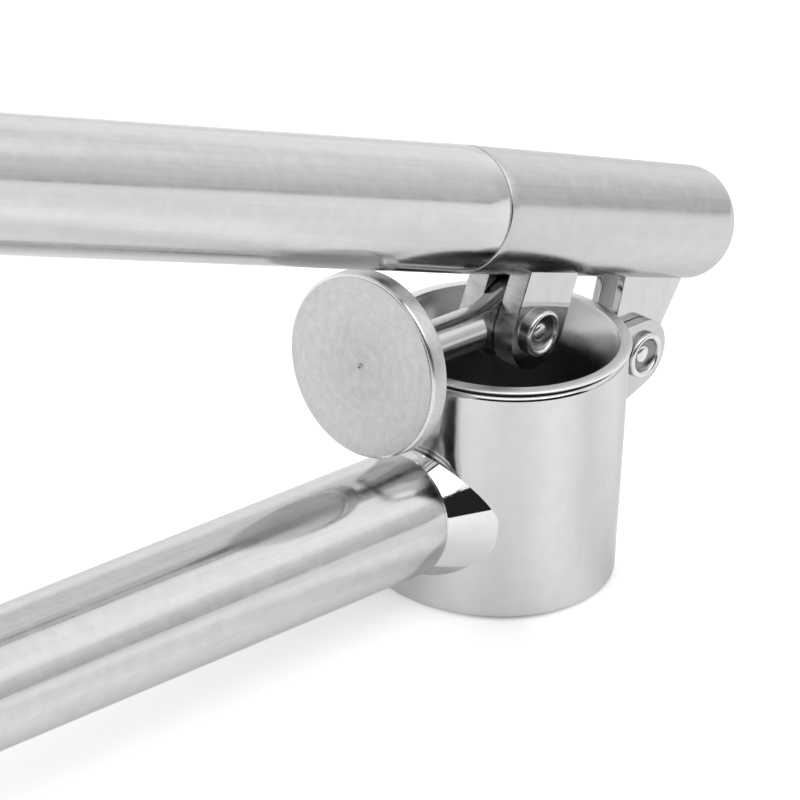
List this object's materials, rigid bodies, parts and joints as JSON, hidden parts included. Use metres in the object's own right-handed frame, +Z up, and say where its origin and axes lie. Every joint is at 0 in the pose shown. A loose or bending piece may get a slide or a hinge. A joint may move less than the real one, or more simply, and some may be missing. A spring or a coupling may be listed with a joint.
{
  "type": "garlic press",
  "caption": "Stainless steel garlic press: a round cup with a lift-out sieve, two tube handles joined by a pin in front of the cup, and a folding disc plunger.",
  "frame": {"origin": "centre of the cup's standing ring, on the surface the press stands on", "axes": "+Z up along the cup's axis, +X from the handles towards the hinge, and the press is mirrored about the XZ plane"},
  "size_m": [0.1856, 0.0366, 0.1073],
  "materials": {
    "polished_steel": "polished stainless steel",
    "satin_steel": "satin stainless steel",
    "turned_steel": "matte stainless steel with fine turning marks"
  },
  "bodies": {
    "base": {"cup_shell": "polished_steel", "neck_collar": "polished_steel", "neck_ring": "polished_steel", "lower_spigot": "satin_steel", "lower_tube": "satin_steel", "lower_end_cap": "satin_steel", "ear_near": "polished_steel", "ear_far": "polished_steel", "hinge_rivet": "polished_steel"},
    "sieve": {"sieve_cup": "turned_steel", "sieve_plate": "turned_steel"},
    "handle": {"hinge_bush": "turned_steel", "bracket_near": "polished_steel", "bracket_far": "polished_steel", "front_tube": "satin_steel", "joint_sleeve": "polished_steel", "upper_tube": "satin_steel", "upper_end_cap": "satin_steel", "yoke_leg_near": "polished_steel", "yoke_leg_far": "polished_steel", "plunger_rivet": "polished_steel"},
    "plunger": {"plunger_bar": "satin_steel", "plunger_disc": "turned_steel"}
  },
  "joints": [
    {"name": "handle_hinge", "type": "hinge", "parent": "base", "child": "handle", "pos_m": [0.0268, 0, 0.0256], "axis": [0, 1, 0], "range_deg": [0, 120]},
    {"name": "plunger_swing", "type": "hinge", "parent": "handle", "child": "plunger", "pos_m": [0.0014, 0, 0.03804], "axis": [0, 1, 0], "range_deg": [-66, 0]},
    {"name": "sieve_lift", "type": "slide", "parent": "base", "child": "sieve", "axis": [0, 0, 1], "range_m": [0, 0.022]}
  ],
  "couplings": [
    {"joint": "plunger_swing", "follows": "handle_hinge", "ratio": -0.55},
    {"joint": "sieve_lift", "follows": "handle_hinge", "m_per_rad": 0.0105}
  ]
}
